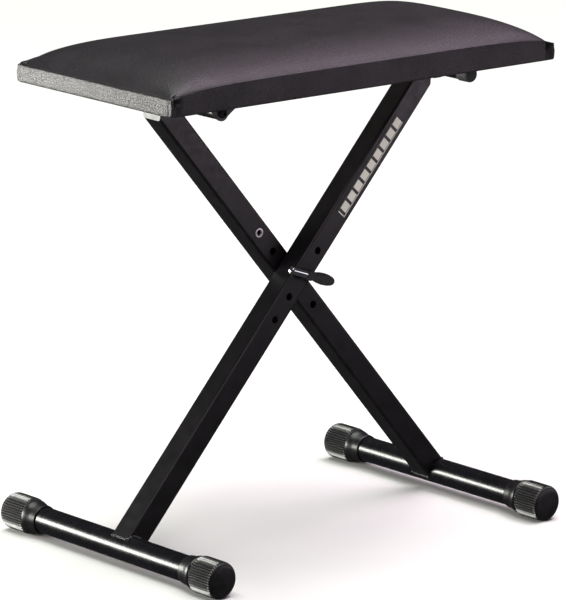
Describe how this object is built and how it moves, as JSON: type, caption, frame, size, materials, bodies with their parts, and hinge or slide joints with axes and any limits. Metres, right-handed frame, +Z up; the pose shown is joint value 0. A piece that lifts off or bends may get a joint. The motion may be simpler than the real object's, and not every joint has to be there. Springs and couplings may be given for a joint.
{
  "type": "piano bench",
  "caption": "Folding X-frame piano bench: crossed square-tube legs on a pull-out lock pin, round foot bars with ribbed caps, and a padded seat hinged on one top bar and hooked over the other.",
  "frame": {"origin": "on the floor below the middle of the bench", "axes": "+X along the seat, from its hinged end to its hooked end; -Y is the side of the lock pin handle; +Z up"},
  "size_m": [0.574, 0.364, 0.5785],
  "materials": {
    "frame_paint": "satin black powder coat",
    "gloss_paint": "gloss black enamel",
    "cap_rubber": "matte black, moulded",
    "black_plastic": "moulded",
    "chrome": "polished",
    "bright_steel": "zinc plated",
    "vinyl": "grained black vinyl over foam",
    "board": "raw plywood",
    "label": "printed film"
  },
  "bodies": {
    "rear_frame": {"rear_leg": "frame_paint", "rear_foot_bar": "gloss_paint", "rear_foot_cap_near": "cap_rubber", "rear_foot_cap_far": "cap_rubber", "rear_top_bar": "gloss_paint", "hinge_plug_near": "bright_steel", "hinge_plug_far": "bright_steel", "hinge_washer_near": "black_plastic", "hinge_washer_far": "black_plastic", "hinge_bolt_near": "chrome", "hinge_bolt_far": "chrome", "rear_leg_eyelet": "bright_steel"},
    "front_frame": {"front_leg": "frame_paint", "front_foot_bar": "gloss_paint", "front_foot_cap_near": "cap_rubber", "front_foot_cap_far": "cap_rubber", "front_top_bar": "gloss_paint", "front_top_cap_near": "black_plastic", "front_top_cap_far": "black_plastic", "front_leg_label": "label"},
    "lock_pin_set": {"lock_pin": "bright_steel", "lock_pin_bar": "chrome", "lock_pin_grip": "black_plastic"},
    "seat": {"seat_board": "board", "seat_cushion": "vinyl", "hinge_bracket_near": "frame_paint", "hinge_bracket_far": "frame_paint", "hook_bracket_near": "frame_paint", "hook_bracket_far": "frame_paint", "hinge_screw_1": "bright_steel", "hinge_screw_2": "bright_steel", "hinge_screw_3": "bright_steel", "hinge_screw_4": "bright_steel", "hook_screw_1": "bright_steel", "hook_screw_2": "bright_steel", "hook_screw_3": "bright_steel", "hook_screw_4": "bright_steel"}
  },
  "joints": [
    {"name": "leg_fold", "type": "hinge", "parent": "rear_frame", "child": "front_frame", "pos_m": [0, 0, 0.29948], "axis": [0, -1, 0], "range_deg": [0, 72]},
    {"name": "seat_tilt", "type": "hinge", "parent": "rear_frame", "child": "seat", "pos_m": [-0.186, 0, 0.51648], "axis": [0, -1, 0], "range_deg": [0, 36]},
    {"name": "lock_pin_slide", "type": "slide", "parent": "front_frame", "child": "lock_pin_set", "axis": [0, -1, 0], "range_m": [0, 0.07]}
  ],
  "couplings": [
    {"joint": "seat_tilt", "follows": "leg_fold", "ratio": 0.5}
  ]
}
